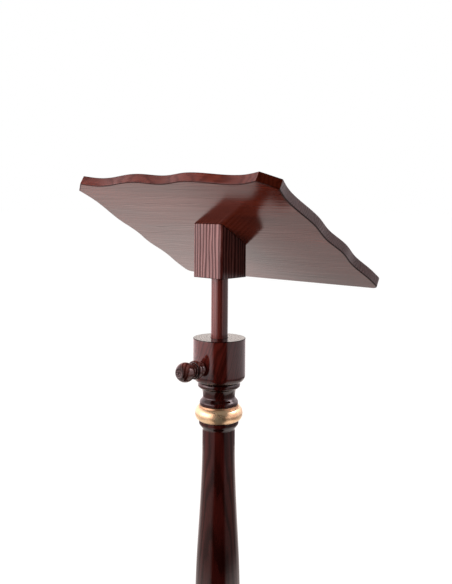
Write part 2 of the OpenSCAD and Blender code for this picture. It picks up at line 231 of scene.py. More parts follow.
def place_camera():
    data = bpy.data.cameras.new("camera")
    data.sensor_width = SENSOR_MM
    data.lens = FOCAL_PX / max(FRAME_PX) * SENSOR_MM
    data.shift_x = (FRAME_PX[0] / 2 - AXIS_PX[0]) / max(FRAME_PX)
    data.shift_y = (AXIS_PX[1] - FRAME_PX[1] / 2) / max(FRAME_PX)
    camera = put("camera", data)
    towards = Vector((math.sin(CAMERA_TURN), -math.cos(CAMERA_TURN), 0))
    camera.location = -towards * CAMERA_DISTANCE + Vector((0, 0, HEAD_TOP * MM + CAMERA_ABOVE_HEAD))
    camera.rotation_mode = "QUATERNION"
    camera.rotation_quaternion = towards.to_track_quat("-Z", "Y") @ Quaternion((0, 0, 1), CAMERA_ROLL)
    bpy.context.scene.camera = camera


# Outlines and mouldings. A point BRACE millimetres from an arris keeps the flat beside it flat
BRACE = 0.8


def quarter(p, q, level, steps=12):
    """A quarter of an ellipse from p to q, which leaves p either level or upright."""
    points = []
    for i in range(steps + 1):
        s = math.sin(math.pi / 2 * i / steps)
        c = 1 - math.cos(math.pi / 2 * i / steps)
        a, b = (s, c) if level else (c, s)
        points.append((p[0] + (q[0] - p[0]) * a, p[1] + (q[1] - p[1]) * b))
    return points


def flow(p, q, steps=24):
    """A flowing line from p to q, upright at both ends."""
    return [(p[0] + (q[0] - p[0]) * (1 - math.cos(math.pi * i / steps)) / 2,
             p[1] + (q[1] - p[1]) * i / steps) for i in range(steps + 1)]


def bead(p, q, r_out):
    """A half-round moulding that stands out to r_out, from p up to q."""
    mid = (r_out, (p[1] + q[1]) / 2)
    return quarter(p, mid, True) + quarter(mid, q, False)


def waves(stops, steps=14):
    """Waves through crests and troughs, each (share of the way, height out), with a steep start."""
    points = [stops[0]]
    for k in range(1, len(stops)):
        p, q = stops[k - 1], stops[k]
        for i in range(1, steps + 1):
            t = i / steps
            rise = math.sin(math.pi / 2 * t) if k == 1 else (1 - math.cos(math.pi * t)) / 2
            points.append((p[0] + (q[0] - p[0]) * t, p[1] + (q[1] - p[1]) * rise))
    return points


def without_repeats(points):
    kept = []
    for p in points:
        if not kept or math.dist(p, kept[-1]) > 0.01:
            kept.append(p)
    return kept


def soften(points, radius, steps=3, least_turn=math.radians(28)):
    """Rounds a profile's sharp corners. Returns its points and, for each, 1 on a rounded corner or 0."""
    points = without_repeats(points)
    out, rim = [points[0]], [0.0]
    for before, here, after in zip(points, points[1:], points[2:]):
        a = Vector(before) - Vector(here)
        b = Vector(after) - Vector(here)
        turn = math.pi - a.angle(b)
        if turn < least_turn or here[0] < 0.01:
            out.append(here)
            rim.append(0.0)
            continue
        reach = min(radius * math.tan(turn / 2), a.length * 0.45, b.length * 0.45)
        start = Vector(here) + a.normalized() * reach
        end = Vector(here) + b.normalized() * reach
        for i in range(steps + 1):
            t = i / steps
            p = start * (1 - t) ** 2 + Vector(here) * 2 * t * (1 - t) + end * t * t
            out.append((p.x, p.y))
            rim.append(1.0)
    return out + [points[-1]], rim + [0.0]


def braced(points, rim):
    """Adds a point near both ends of each long straight, so that smooth shading keeps it straight."""
    out, out_rim = [points[0]], [rim[0]]
    for p, q, value in zip(points, points[1:], rim[1:]):
        if math.dist(p, q) > 4 * BRACE:
            step = (Vector(q) - Vector(p)).normalized() * BRACE
            out += [tuple(Vector(p) + step), tuple(Vector(q) - step)]
            out_rim += [0.0, 0.0]
        out.append(q)
        out_rim.append(value)
    return out, out_rim


def bar(radius, low, high):
    """The profile of a plain round bar."""
    return [(0, low), (radius, low), (radius, high), (0, high)]


def tube(hole, radius, low, high, seam):
    """The profile of a plain ring, closed on itself in its hole, at seam above its foot."""
    start = (hole, low + seam)
    return [start, (hole, low), (radius, low), (radius, high), (hole, high), start]


# Meshes. An edge that turns further than SHARP_TURN shows as sharp
SHARP_TURN = math.radians(35)


def new_mesh(name, points, edges, faces, **values):
    """A mesh, with each of the values kept at its points."""
    mesh = bpy.data.meshes.new(name)
    mesh.from_pydata(points, edges, faces)
    for key, numbers in values.items():
        mesh.attributes.new(key, "FLOAT", "POINT").data.foreach_set("value", numbers)
    return mesh


def baked(piece):
    """A piece's mesh after its modifiers."""
    bpy.context.view_layer.update()
    return bpy.data.meshes.new_from_object(piece.evaluated_get(bpy.context.evaluated_depsgraph_get()))


# Geometry Nodes: turned pieces, and pieces that repeat


def start_tree(name, **inputs):
    tree = bpy.data.node_groups.new(name, "GeometryNodeTree")
    tree.interface.new_socket("Geometry", in_out="INPUT", socket_type="NodeSocketGeometry")
    for socket_name, kind in {**inputs, "Material": "Material"}.items():
        tree.interface.new_socket(socket_name, in_out="INPUT", socket_type="NodeSocket" + kind)
    tree.interface.new_socket("Geometry", in_out="OUTPUT", socket_type="NodeSocketGeometry")
    return tree, tree.nodes.new("NodeGroupInput").outputs


def end_tree(tree, given, geometry):
    realized = add(tree, "GeometryNodeRealizeInstances", Geometry=geometry)
    painted = add(tree, "GeometryNodeSetMaterial", Geometry=realized, Material=given["Material"])
    add(tree, "NodeGroupOutput", i0=painted)
    return tree


def turning_tree():
    """Turns a profile round the Z axis, like a lathe. A Depth above zero cuts a thread of the given Pitch."""
    tree, given = start_tree("lathe", Segments="Int", Pitch="Float", Depth="Float")
    count = add(tree, "GeometryNodeAttributeDomainSize", Geometry=given[0]).outputs["Point Count"]
    columns = add(tree, MATH, "ADD", i0=given["Segments"], i1=1.0)
    grid = add(tree, "GeometryNodeMeshGrid", Vertices_X=columns, Vertices_Y=count)
    index = add(tree, "GeometryNodeInputIndex")
    column = add(tree, MATH, "DIVIDE", i0=index, i1=count)
    turn = add(tree, MATH, "FLOOR", i0=column)
    row = add(tree, MATH, "MODULO", i0=index, i1=count)
    point = add(tree, "GeometryNodeSampleIndex", {"data_type": "FLOAT_VECTOR"}, Geometry=given[0],
                Value=add(tree, "GeometryNodeInputPosition"), Index=row)
    part = add(tree, "ShaderNodeSeparateXYZ", i0=point)
    share = add(tree, MATH, "DIVIDE", i0=turn, i1=given["Segments"])
    angle = add(tree, MATH, "MULTIPLY", i0=share, i1=2 * math.pi)
    # The thread: a V that climbs one pitch a turn
    threads = add(tree, MATH, "DIVIDE", i0=part.outputs[2], i1=given["Pitch"])
    climb = add(tree, MATH, "SUBTRACT", i0=threads, i1=share)
    above_zero = add(tree, MATH, "ADD", i0=climb, i1=1000.0)
    groove = add(tree, MATH, "PINGPONG", i0=above_zero, i1=0.5)
    half_taken = add(tree, MATH, "MULTIPLY", i0=groove, i1=given["Depth"])
    taken = add(tree, MATH, "MULTIPLY", i0=half_taken, i1=2.0)
    left = add(tree, MATH, "SUBTRACT", i0=part.outputs[0], i1=taken)
    radius = add(tree, MATH, "MAXIMUM", i0=left, i1=0.0)
    cosine = add(tree, MATH, "COSINE", i0=angle)
    sine = add(tree, MATH, "SINE", i0=angle)
    x = add(tree, MATH, "MULTIPLY", i0=radius, i1=cosine)
    y = add(tree, MATH, "MULTIPLY", i0=radius, i1=sine)
    place = add(tree, "ShaderNodeCombineXYZ", i0=x, i1=y, i2=part.outputs[2])
    shaped = add(tree, "GeometryNodeSetPosition", Geometry=grid, Position=place)
    rim = add(tree, "GeometryNodeInputNamedAttribute", {"data_type": "FLOAT"}, Name="rim")
    rim_here = add(tree, "GeometryNodeSampleIndex", {"data_type": "FLOAT"}, Geometry=given[0], Value=rim,
                   Index=row)
    stored = add(tree, "GeometryNodeStoreNamedAttribute", {"data_type": "FLOAT", "domain": "POINT"},
                 Geometry=shaped, Name="rim", Value=rim_here)
    merged = add(tree, "GeometryNodeMergeByDistance", Geometry=stored, Distance=1e-6)
    return end_tree(tree, given, merged)


def circle_tree():
    """Sets copies of a shape round the Z axis."""
    tree, given = start_tree("round_the_stem", Count="Int", Reach="Float", Start="Float")
    circle = add(tree, "GeometryNodeMeshCircle", Vertices=given["Count"], Radius=given["Reach"])
    start = add(tree, "ShaderNodeCombineXYZ", i2=given["Start"])
    places = add(tree, "GeometryNodeTransform", Geometry=circle, Rotation=start)
    return end_tree(tree, given, add(tree, "GeometryNodeInstanceOnPoints", Points=places, Instance=given[0]))


def rows_tree():
    """Sets copies of a shape at the corners of a rectangle on a sloping plane."""
    tree, given = start_tree("rows_on_slope", Across="Float", Along="Float", Middle="Vector", Foot="Vector",
                             Slope="Float")
    corners = add(tree, "GeometryNodeMeshGrid", Size_X=given["Across"], Size_Y=given["Along"], Vertices_X=2,
                  Vertices_Y=2)
    moved = add(tree, "GeometryNodeTransform", Geometry=corners, Translation=given["Middle"])
    copies = add(tree, "GeometryNodeInstanceOnPoints", Points=moved, Instance=given[0])
    slope = add(tree, "ShaderNodeCombineXYZ", i0=given["Slope"])
    tilted = add(tree, "GeometryNodeTransform", Geometry=copies, Rotation=slope, Translation=given["Foot"])
    return end_tree(tree, given, tilted)


def grow(name, mesh, tree, material, **values):
    """Runs a mesh through a node tree and returns the result as a plain object."""
    seed = put(name + "_seed", mesh)
    modifier = seed.modifiers.new("nodes", "NODES")
    modifier.node_group = tree
    values["Material"] = material
    for item in tree.interface.items_tree:
        if item.in_out == "INPUT" and item.name in values:
            modifier[item.identifier] = values[item.name]
    result = baked(seed)
    bpy.data.objects.remove(seed)
    return finish_mesh(name, result, material)


def signed_volume(mesh):
    mesh.calc_loop_triangles()
    corners = ([mesh.vertices[i].co for i in triangle.vertices] for triangle in mesh.loop_triangles)
    return sum(a.dot(b.cross(c)) for a, b, c in corners) / 6


def finish_mesh(name, mesh, material):
    """Gives a mesh its material, outward faces and smooth shading up to the sharp edges, and links it."""
    mesh.materials.clear()
    mesh.materials.append(material)
    if signed_volume(mesh) < 0:
        mesh.flip_normals()
    mesh.shade_smooth()
    mesh.set_sharp_from_angle(angle=SHARP_TURN)
    piece = put(name, mesh)
    mesh.name = name
    return piece


def turned(name, profile, material, ease=0.6, segments=96, foot=0, pitch=1.0, depth=0.0, painted_shade=(0, 0)):
    """A piece turned from a profile of (radius, height from foot) points in millimetres.

    The profile is closed on itself or on the axis. Between the two heights of painted_shade the stain is
    painted nearly as dark as on an arris: a painted shade for the hollow under an overhang."""
    points, rim = soften([(r, foot + z) for r, z in profile], ease)
    if depth == 0:
        points, rim = braced(points, rim)
    # Painted shade: between the heights of painted_shade the rim value rises to 0.7, which darkens the stain
    rim = [max(value, 0.7 * (painted_shade[0] < z < painted_shade[1])) for (x, z), value in zip(points, rim)]
    edges = [(i, i + 1) for i in range(len(points) - 1)]
    mesh = new_mesh("profile", [(x * MM, 0, z * MM) for x, z in points], edges, [], rim=rim)
    return grow(name, mesh, LATHE, material, Segments=segments, Pitch=pitch * MM, Depth=depth * MM)


def repeated(shape, tree, **values):
    """Copies of a turned shape, set out by a node tree, in one piece that takes the shape's name."""
    name, mesh = shape.name, shape.data
    bpy.data.objects.remove(shape)
    return grow(name, mesh, tree, mesh.materials[0], **values)


def threaded(name, radius, low, high, pitch, material):
    """A screw thread from low to high, with a chamfer of one pitch at each end."""
    steps = round((high - low) / pitch * 6)
    wall = [(radius, low + pitch + (high - low - 2 * pitch) * i / steps) for i in range(steps + 1)]
    profile = [(0, low), (radius - pitch, low)] + wall + [(radius - pitch, high), (0, high)]
    return turned(name, profile, material, ease=0, segments=32, pitch=pitch, depth=pitch * THREAD_DEPTH)


def along_clamp(piece):
    """Lays a piece that was turned on Z along the clamp screw's axis, +Y."""
    piece.data.transform(Matrix.Translation((0, 0, CLAMP_Z * MM)) @ Matrix.Rotation(-math.pi / 2, 4, "X"))
    return piece


def slab(name, outline, rings, place, material, cap=2.0):
    """A slab from a closed outline. rings are (inset, share) from face to face, and place puts them."""
    count = len(outline)
    inward = []
    for i, p in enumerate(outline):
        a = (Vector(p) - Vector(outline[i - 1])).normalized()
        b = (Vector(outline[(i + 1) % count]) - Vector(p)).normalized()
        normal = Vector((-(a.y + b.y), a.x + b.x)).normalized()
        inward.append(normal / max(0.5, normal.dot(Vector((-b.y, b.x)))))
    rings = [(rings[0][0] + cap, rings[0][1])] + rings + [(rings[-1][0] + cap, rings[-1][1])]
    last = (len(rings) - 1) * count
    points = [place(p[0] + n.x * inset, p[1] + n.y * inset, share)
              for inset, share in rings for p, n in zip(outline, inward)]
    rim = [float(0 < k < len(rings) - 1 and rings[k][0] > 0) for k in range(len(rings)) for _ in outline]
    walls = [(k + i, k + (i + 1) % count, k + count + (i + 1) % count, k + count + i)
             for k in range(0, last, count) for i in range(count)]
    faces = [tuple(range(count))[::-1]] + walls + [tuple(range(last, last + count))]
    mesh = new_mesh(name, [tuple(c * MM for c in p) for p in points], [], faces, rim=rim)
    return finish_mesh(name, mesh, material)


def eased(radius, thickness, steps=4):
    """Rings of (inset, share of the thickness) with both arrises rounded."""
    angles = [math.pi / 2 * i / steps for i in range(steps + 1)]
    low = [(radius * (1 - math.sin(a)), radius * (1 - math.cos(a)) / thickness) for a in angles]
    low.append((0, (radius + BRACE) / thickness))
    return low + [(inset, 1 - share) for inset, share in low[::-1]]


def cut(piece, *cutters):
    """Cuts the cutters' shapes out of a piece and removes them."""
    for cutter in cutters:
        modifier = piece.modifiers.new("hole", "BOOLEAN")
        modifier.operation = "DIFFERENCE"
        modifier.solver = "EXACT"
        modifier.object = cutter
    mesh, name, material = baked(piece), piece.name, piece.data.materials[0]
    for old in (piece, *cutters):
        bpy.data.objects.remove(old)
    return finish_mesh(name, mesh, material)


def drill(diameter, low, high, material):
    """The shape that a drill takes out, on the Z axis."""
    return turned("drill", bar(diameter / 2, low, high), material, ease=0, segments=64)


def fit(piece, body, slot, *nodes):
    """Puts a finished piece on its body in place of the nodes that it stands for."""
    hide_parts(*nodes)
    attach(piece, body)


# Materials


def new_material(name):
    material = bpy.data.materials.new(name)
    material.use_nodes = True
    material.node_tree.nodes.clear()
    return material, material.node_tree


def set_stops(node, *stops):
    """Gives a colour ramp its (place, hex colour) stops."""
    elements = node.color_ramp.elements
    for element, (place, tone) in zip((elements[0], elements[1]), (stops[0], stops[-1])):
        element.position, element.color = place, colour(tone)
    for place, tone in stops[1:-1]:
        elements.new(place).color = colour(tone)


# The share of its whole range that a noise mostly keeps to
NOISE = dict(From_Min=0.3, From_Max=0.7)
SMOOTH = {"interpolation_type": "SMOOTHSTEP"}


def wood(name, along, pith, ring, light, mid, dark, bend=1.0, gloss=0.08, lacquer=1.0, lean=0.0, fibre=0.7,
         streaks=(0.75, 1.2), sunk=0.2):
    """Wood with growth rings ring millimetres apart round a pith line that runs along the grain.

    lean turns the grain aside by degrees; fibre is the fibres' width in millimetres and streaks their tones;
    sunk is the share of the gloss that the dark bands and the coarse fibres lose."""
    material, tree = new_material(name)
    coordinates = add(tree, "ShaderNodeTexCoord").outputs
    place = coordinates["Object"]
    # Moves the pith line to the middle and turns the grain to Z
    moved = add(tree, MAPPING, Vector=place, Location=[-c * MM for c in pith])
    turns = {"X": (0, -math.pi / 2, 0), "Y": (math.pi / 2, 0, 0), "Z": (0, 0, 0)}
    turned_grain = add(tree, MAPPING, Vector=moved, Rotation=turns[along])
    aside = math.radians(lean)
    grain = add(tree, MAPPING, Vector=turned_grain, Rotation=(-0.67 * aside, 0.75 * aside, 0))
    # Slow bends of the rings, a hand's width across and an arm's length along the grain
    bends = add(tree, MAPPING, Vector=grain, Scale=(9, 9, 1.7))
    bent = add(tree, TEX_NOISE, Vector=bends, Scale=1.0, Detail=4.0, Roughness=0.6)
    shift = add(tree, MAP_RANGE, {"clamp": False}, Value=bent, To_Min=100.0, To_Max=100.0 + 14 * bend)
    across = add(tree, "ShaderNodeVectorMath", "MULTIPLY", i0=grain, i1=(1000 / ring, 1000 / ring, 0))
    rings = add(tree, "ShaderNodeVectorMath", "LENGTH", i0=across).outputs["Value"]
    years = add(tree, MATH, "ADD", i0=rings, i1=shift)
    season = add(tree, MATH, "FRACT", i0=years)
    tone = add(tree, "ShaderNodeValToRGB", i0=season)
    set_stops(tone, (0.0, mid), (0.12, light), (0.42, light), (0.62, mid), (0.78, dark), (0.94, dark),
              (1.0, mid))
    # Fibres, drawn as wide as they show and eighty times as long
    fibres = add(tree, MAPPING, Vector=grain, Scale=(1000 / fibre, 1000 / fibre, 12.5 / fibre))
    strand = add(tree, TEX_NOISE, Vector=fibres, Scale=1.0, Detail=2.0, Roughness=0.6)
    streak = add(tree, MAP_RANGE, Value=strand, To_Min=streaks[0], To_Max=streaks[1], **NOISE)
    # Stain that took unevenly, in patches a few centimetres wide and longer along the grain
    patches = add(tree, MAPPING, Vector=grain, Scale=(22, 22, 5))
    patch = add(tree, TEX_NOISE, Vector=patches, Scale=1.0, Detail=2.0)
    uneven = add(tree, MAP_RANGE, Value=patch, To_Min=0.65, To_Max=1.25, **NOISE)
    # The stain lies darker on the eased arrises, and rim also carries the painted shade under the clamp drum
    rim = add(tree, "ShaderNodeAttribute", {"attribute_name": "rim"}).outputs["Fac"]
    arris_stain_and_shade = add(tree, MAP_RANGE, Value=rim, To_Min=1.0, To_Max=0.35)
    # End grain drinks in more stain, so it is nearly black
    axis = {"X": (1, 0, 0), "Y": (0, 1, 0), "Z": (0, 0, 1)}[along]
    facing = add(tree, "ShaderNodeVectorMath", "DOT_PRODUCT", i0=coordinates["Normal"], i1=axis)
    end = add(tree, MATH, "ABSOLUTE", i0=facing.outputs["Value"])
    drink = add(tree, MAP_RANGE, SMOOTH, Value=end, From_Min=0.3, From_Max=0.8, To_Min=1.0, To_Max=0.25)
    strength = streak
    for share in (uneven, drink, arris_stain_and_shade):
        strength = add(tree, MATH, "MULTIPLY", i0=strength, i1=share)
    stained = add(tree, "ShaderNodeVectorMath", "SCALE", i0=tone, Scale=strength)
    # Fine relief of the grain under the lacquer, and the lacquer's own slow furrows, 6 mm apart
    relief = add(tree, BUMP, Height=strand, Strength=0.15, Distance=0.0001)
    furrows = add(tree, MAPPING, Vector=grain, Scale=(160, 160, 3))
    wave = add(tree, TEX_NOISE, Vector=furrows, Scale=1.0, Detail=2.0)
    waves_in_film = add(tree, BUMP, Height=wave, Strength=0.3, Distance=0.0003)
    strands_in_film = add(tree, BUMP, Height=strand, Strength=0.1, Distance=0.0001 * fibre,
                          Normal=waves_in_film)
    # Open pores of the end grain, drawn 0.8 mm apart so that they show, where the film sinks in
    pore = add(tree, TEX_NOISE, Vector=place, Scale=1300.0, Detail=2.0)
    open_pores = add(tree, MAP_RANGE, SMOOTH, Value=end, From_Min=0.5, From_Max=0.9, To_Min=0.0, To_Max=0.4)
    pored = add(tree, BUMP, Height=pore, Strength=open_pores, Distance=0.0002, Normal=strands_in_film)
    latewood = add(tree, TEX_NOISE, {"noise_dimensions": "1D"}, W=years, Scale=1.7, Detail=1.0)
    film = add(tree, BUMP, Height=latewood, Strength=open_pores, Distance=0.0006, Normal=pored)
    # The film sinks into the dark bands and between the fibres, and shines less there and on the arrises
    least = add(tree, MAP_RANGE, Value=open_pores, To_Min=1 - sunk, To_Max=0.4)
    on_bands = add(tree, MAP_RANGE, Value=tone, From_Min=luminance(dark),
                   From_Max=luminance(light), To_Min=least, To_Max=1.0)
    on_fibres = add(tree, MAP_RANGE, Value=strand, To_Min=1 - sunk, To_Max=1.0, **NOISE)
    on_arrises = add(tree, MAP_RANGE, Value=rim, From_Min=0.75, To_Min=lacquer, To_Max=0.4 * lacquer)
    shine = on_bands
    for share in (on_fibres, on_arrises):
        shine = add(tree, MATH, "MULTIPLY", i0=shine, i1=share)
    shader = add(tree, "ShaderNodeBsdfPrincipled", Base_Color=stained, Roughness=0.5, Normal=relief,
                 Specular_IOR_Level=0.3 * (1 - lacquer), Coat_Weight=shine, Coat_Roughness=gloss,
                 Coat_IOR=1.55, Coat_Normal=film)
    add(tree, "ShaderNodeOutputMaterial", Surface=shader)
    return material


def metal(name, tone, rough, grit):
    """Bare or plated metal with fine marks, grit millimetres apart, from how it was made."""
    material, tree = new_material(name)
    place = add(tree, "ShaderNodeTexCoord").outputs["Object"]
    marks = add(tree, TEX_NOISE, Vector=place, Scale=1000 / grit, Detail=3.0)
    gloss = add(tree, MAP_RANGE, Value=marks, To_Min=rough * 0.85, To_Max=rough * 1.15, **NOISE)
    relief = add(tree, BUMP, Height=marks, Strength=0.1, Distance=0.0001)
    shader = add(tree, "ShaderNodeBsdfPrincipled", Base_Color=colour(tone), Metallic=1.0, Roughness=gloss,
                 Normal=relief)
    add(tree, "ShaderNodeOutputMaterial", Surface=shader)
    return material


def gold_leaf():
    """Gold leaf over red clay on turned wood: a soft gloss, faint laps 20 mm apart, rubbed on the arrises."""
    material, tree = new_material("burnished_gold_leaf")
    place = add(tree, "ShaderNodeTexCoord").outputs["Object"]
    laps = add(tree, TEX_NOISE, Vector=place, Scale=45.0, Detail=2.0, Roughness=0.6)
    tone = add(tree, "ShaderNodeValToRGB", i0=laps)
    set_stops(tone, (0.3, "#F0C69A"), (0.6, "#FADEB4"))
    rim = add(tree, "ShaderNodeAttribute", {"attribute_name": "rim"}).outputs["Fac"]
    worn = add(tree, MATH, "MULTIPLY", i0=rim, i1=0.55)
    leaf = add(tree, "ShaderNodeMix", {"data_type": "RGBA"}, i0=worn, i6=tone, i7=colour("#8A4526"))
    gloss = add(tree, MAP_RANGE, Value=laps, To_Min=0.24, To_Max=0.36, **NOISE)
    relief = add(tree, BUMP, Height=laps, Strength=0.08, Distance=0.0003)
    shader = add(tree, "ShaderNodeBsdfPrincipled", Base_Color=leaf.outputs[2], Metallic=0.8, Roughness=gloss,
                 Normal=relief)
    add(tree, "ShaderNodeOutputMaterial", Surface=shader)
    return material


def wool_felt():
    """Pressed wool felt: matt, with matted fibres drawn 0.7 mm apart so that they show."""
    material, tree = new_material("pressed_wool_felt")
    place = add(tree, "ShaderNodeTexCoord").outputs["Object"]
    mat = add(tree, TEX_NOISE, Vector=place, Scale=1500.0, Detail=4.0, Roughness=0.7)
    tone = add(tree, "ShaderNodeValToRGB", i0=mat)
    set_stops(tone, (0.3, "#2A211D"), (0.7, "#4A3C35"))
    relief = add(tree, BUMP, Height=mat, Strength=0.6, Distance=0.0004)
    shader = add(tree, "ShaderNodeBsdfPrincipled", Base_Color=tone, Roughness=0.95, Normal=relief,
                 Sheen_Weight=0.3)
    add(tree, "ShaderNodeOutputMaterial", Surface=shader)
    return material


# The desk


def desk_point(x, v, h):
    """A point on the desk, from its place across, up the slope and above the underside, in millimetres."""
    c, s = math.cos(DESK_TILT), math.sin(DESK_TILT)
    return x, v * c - h * s, DESK_Z + v * s + h * c


def desk_outline():
    side_stops = [(0, 0), (0.125, -SIDE_TROUGH), (0.32, -SIDE_CREST), (0.465, -SIDE_TROUGH),
                  (0.6, -SIDE_CREST), (0.735, -SIDE_TROUGH), (0.9, -SIDE_CREST)]
    high_stops = [(0, 0), (0.23, -HIGH_TROUGH), (0.7, HIGH_CREST), (1, -MID_TROUGH)]
    side_l = DESK_UP + DESK_DOWN - CLIP_L
    half_high = DESK_W / 2 - CLIP_W
    half = quarter((DESK_W / 2 - SIDE_CREST - LOW_CORNER_R, -DESK_DOWN),
                   (DESK_W / 2 - SIDE_CREST, LOW_CORNER_R - DESK_DOWN), True)
    half += [(DESK_W / 2 + y, DESK_UP - CLIP_L - t * side_l) for t, y in waves(side_stops)[::-1]]
    half += [(half_high * (1 - t), DESK_UP + y) for t, y in waves(high_stops)]
    half = without_repeats(half)
    return half + [(-x, y) for x, y in half[::-1] if x > 0.01]


def on_plug_rows(shape):
    return repeated(shape, ROWS, Across=2 * PLUG_X * MM, Along=(PLUG_HIGH - PLUG_LOW) * MM, Slope=DESK_TILT,
                    Middle=(0, (PLUG_LOW + PLUG_HIGH) / 2 * MM, 0), Foot=(0, 0, DESK_Z * MM))


def make_board():
    board = slab("scalloped_board", desk_outline(), eased(1.6, DESK_T),
                 lambda x, v, share: desk_point(x, v, share * DESK_T), BOARD_WOOD)
    holes = on_plug_rows(drill(PLUG_D + 2 * GLUE_GAP, DESK_T - PLUG_H, DESK_T + PLUG_H, BOARD_WOOD))
    fit(cut(board, holes), "desk", "stained_wood", "desk_board")


def make_plugs():
    plug = bar(PLUG_D / 2, DESK_T - PLUG_H, DESK_T)
    plugs = on_plug_rows(turned("plugs_over_screws", plug, PLUG_WOOD, ease=0.2, segments=40))
    fit(plugs, "desk", "stained_wood", "screw_plugs")


def make_ledge():
    half, r = LEDGE_W / 2, LEDGE_COVE_R
    turns = [math.pi / 20 * i for i in range(11)]
    cove = [(half - r * math.sin(a), LEDGE_H - r * math.cos(a)) for a in turns]
    outline = [(-half, 0), (half, 0)] + cove + [(-x, y) for x, y in cove[::-1]]
    ledge = slab("coved_ledge", outline, eased(1.5, LEDGE_T),
                 lambda x, h, share: desk_point(x, -DESK_DOWN + share * LEDGE_T, DESK_T + h), LEDGE_WOOD,
                 cap=1.0)
    fit(ledge, "desk", "stained_wood", "book_ledge")


def make_block():
    a, b = BLOCK_W / 2 - BLOCK_EDGE, BLOCK_W / 2
    corners = [(b, -a), (b, a), (a, b), (-a, b), (-b, a), (-b, -a), (-a, -b), (a, -b)]
    block = slab("chamfered_block", corners, eased(0.7, BLOCK_H),
                 lambda x, y, share: (x, y, BLOCK_Z + share * (BLOCK_H + y * math.tan(DESK_TILT))),
                 BLOCK_WOOD)
    socket = drill(ROD_D + 2 * GLUE_GAP, BLOCK_Z - 1, BLOCK_Z + SOCKET_H, BLOCK_WOOD)
    fit(cut(block, socket), "desk", "stained_wood", "head_block")


def make_rod():
    r, hole, hole_top = ROD_D / 2, GUIDE_SCREW_D / 2 + GLUE_GAP, ROD_Z + GUIDE_SCREW_IN + 1
    profile = [(0, hole_top), (hole, hole_top), (hole, ROD_Z), (r, ROD_Z), (r, ROD_TOP), (0, ROD_TOP)]
    fit(turned("sliding_rod", profile, ROD_WOOD, ease=1.0), "desk", "stained_wood", "rod")


def make_guide():
    profile = tube(GUIDE_SCREW_D / 2 + SLIDE_GAP, GUIDE_R, GUIDE_Z, GUIDE_TOP, 5)
    fit(turned("rod_guide_disc", profile, BEECH, ease=0.8), "rod_guide", "plain_wood", "guide_disc")


# The clamp


def make_clamp_head():
    bore, low, drum_z = ROD_D / 2 + SLIDE_GAP, RING_Z + RING_H, HEAD_TOP - DRUM_H
    drum, bead_r, neck, flare, tenon = (d / 2 for d in (HEAD_D, BEAD_D, NECK_D, FLARE_D, TENON_D))
    ovolo_z = drum_z - OVOLO_H
    bead_z = ovolo_z - BEAD_H
    neck_z = bead_z - NECK_H
    profile = [(bore, low), (bore, TENON_Z), (tenon, TENON_Z), (tenon, low), (flare - 1.5, low)]
    profile += quarter((flare - 1.5, low), (flare, low + 2), True)
    profile += flow((flare, low + LIP_H), (neck, neck_z))
    profile += quarter((neck, neck_z), (bead_r - 4, bead_z - 0.5), False)
    profile += bead((bead_r - 3, bead_z), (bead_r - 2.5, ovolo_z), bead_r)
    profile += quarter((bead_r - 2.5, ovolo_z), (drum, drum_z), True)
    profile += [(drum, HEAD_TOP), (bore, HEAD_TOP), (bore, low)]
    # The flare, neck and bead under the drum get a painted shade: their stain is darkened below the overhang
    head = turned("clamp_drum", profile, HEAD_WOOD, ease=1.0, segments=160, painted_shade=(low, ovolo_z + 1))
    pad_hole = along_clamp(drill(PAD_D + 2 * SLIDE_GAP, 0, HEAD_D / 2 - 5, HEAD_WOOD))
    insert_hole = along_clamp(drill(INSERT_D + 2 * GLUE_GAP, INSERT_Y - GLUE_GAP, HEAD_D, HEAD_WOOD))
    fit(cut(head, pad_hole, insert_hole), "stand", "stained_wood", "clamp_head")


def make_clamp_screw():
    insert = tube(STUD_D / 2 + SLIDE_GAP, INSERT_D / 2, INSERT_Y, INSERT_END_Y, 5)
    fit(along_clamp(turned("insert_in_drum", insert, BRASS, ease=0.4)), "stand", "brass", "thread_insert")
    pad = turned("pad_on_rod", bar(PAD_D / 2, PAD_Y, PAD_END_Y), BRASS, ease=0.8)
    fit(along_clamp(pad), "clamp_pad", "brass", "pressure_pad")
    stud = threaded("clamp_thread", STUD_D / 2, STUD_Y, STUD_END_Y, STUD_PITCH, STEEL)
    fit(along_clamp(stud), "clamp_screw", "steel", "clamp_stud")


def make_knob():
    hole, out, waist, ball = STUD_D / 2 + GLUE_GAP, FLANGE_D / 2, WAIST_D / 2, BALL_D / 2
    hole_end, collar, flange_top = STUD_END_Y - KNOB_Y + 0.5, out - 4, COLLAR_H + FLANGE_H
    ball_mid = KNOB_L + BALL_FLAT - ball
    first, last = -math.acos(waist / ball), math.radians(60)
    arc = [first + (last - first) * i / 24 for i in range(25)]
    profile = [(0, hole_end), (hole, hole_end), (hole, 0), (collar, 0)]
    profile += quarter((collar, 0), (collar - 1.5, COLLAR_H - 2), False)
    profile += bead((collar, COLLAR_H), (collar + 1, flange_top), out)
    profile += flow((collar, flange_top + 1), (waist, ball_mid + math.sin(first) * ball - 0.5), 12)
    profile += [(math.cos(a) * ball, ball_mid + math.sin(a) * ball) for a in arc]
    # The front is turned flat, with the small dimple that the lathe's centre left
    dimple = (BALL_D * 0.07, KNOB_L - 0.1)
    profile += [(BALL_D * 0.19, KNOB_L - 0.4), (BALL_D * 0.1, KNOB_L), dimple]
    profile += quarter(dimple, (0, KNOB_L - DIMPLE_H), False, 5)
    knob = turned("thumb_knob", profile, KNOB_WOOD, ease=0.7, segments=112, foot=KNOB_Y)
    fit(along_clamp(knob), "clamp_screw", "stained_wood", "clamp_knob")


# The stem and base


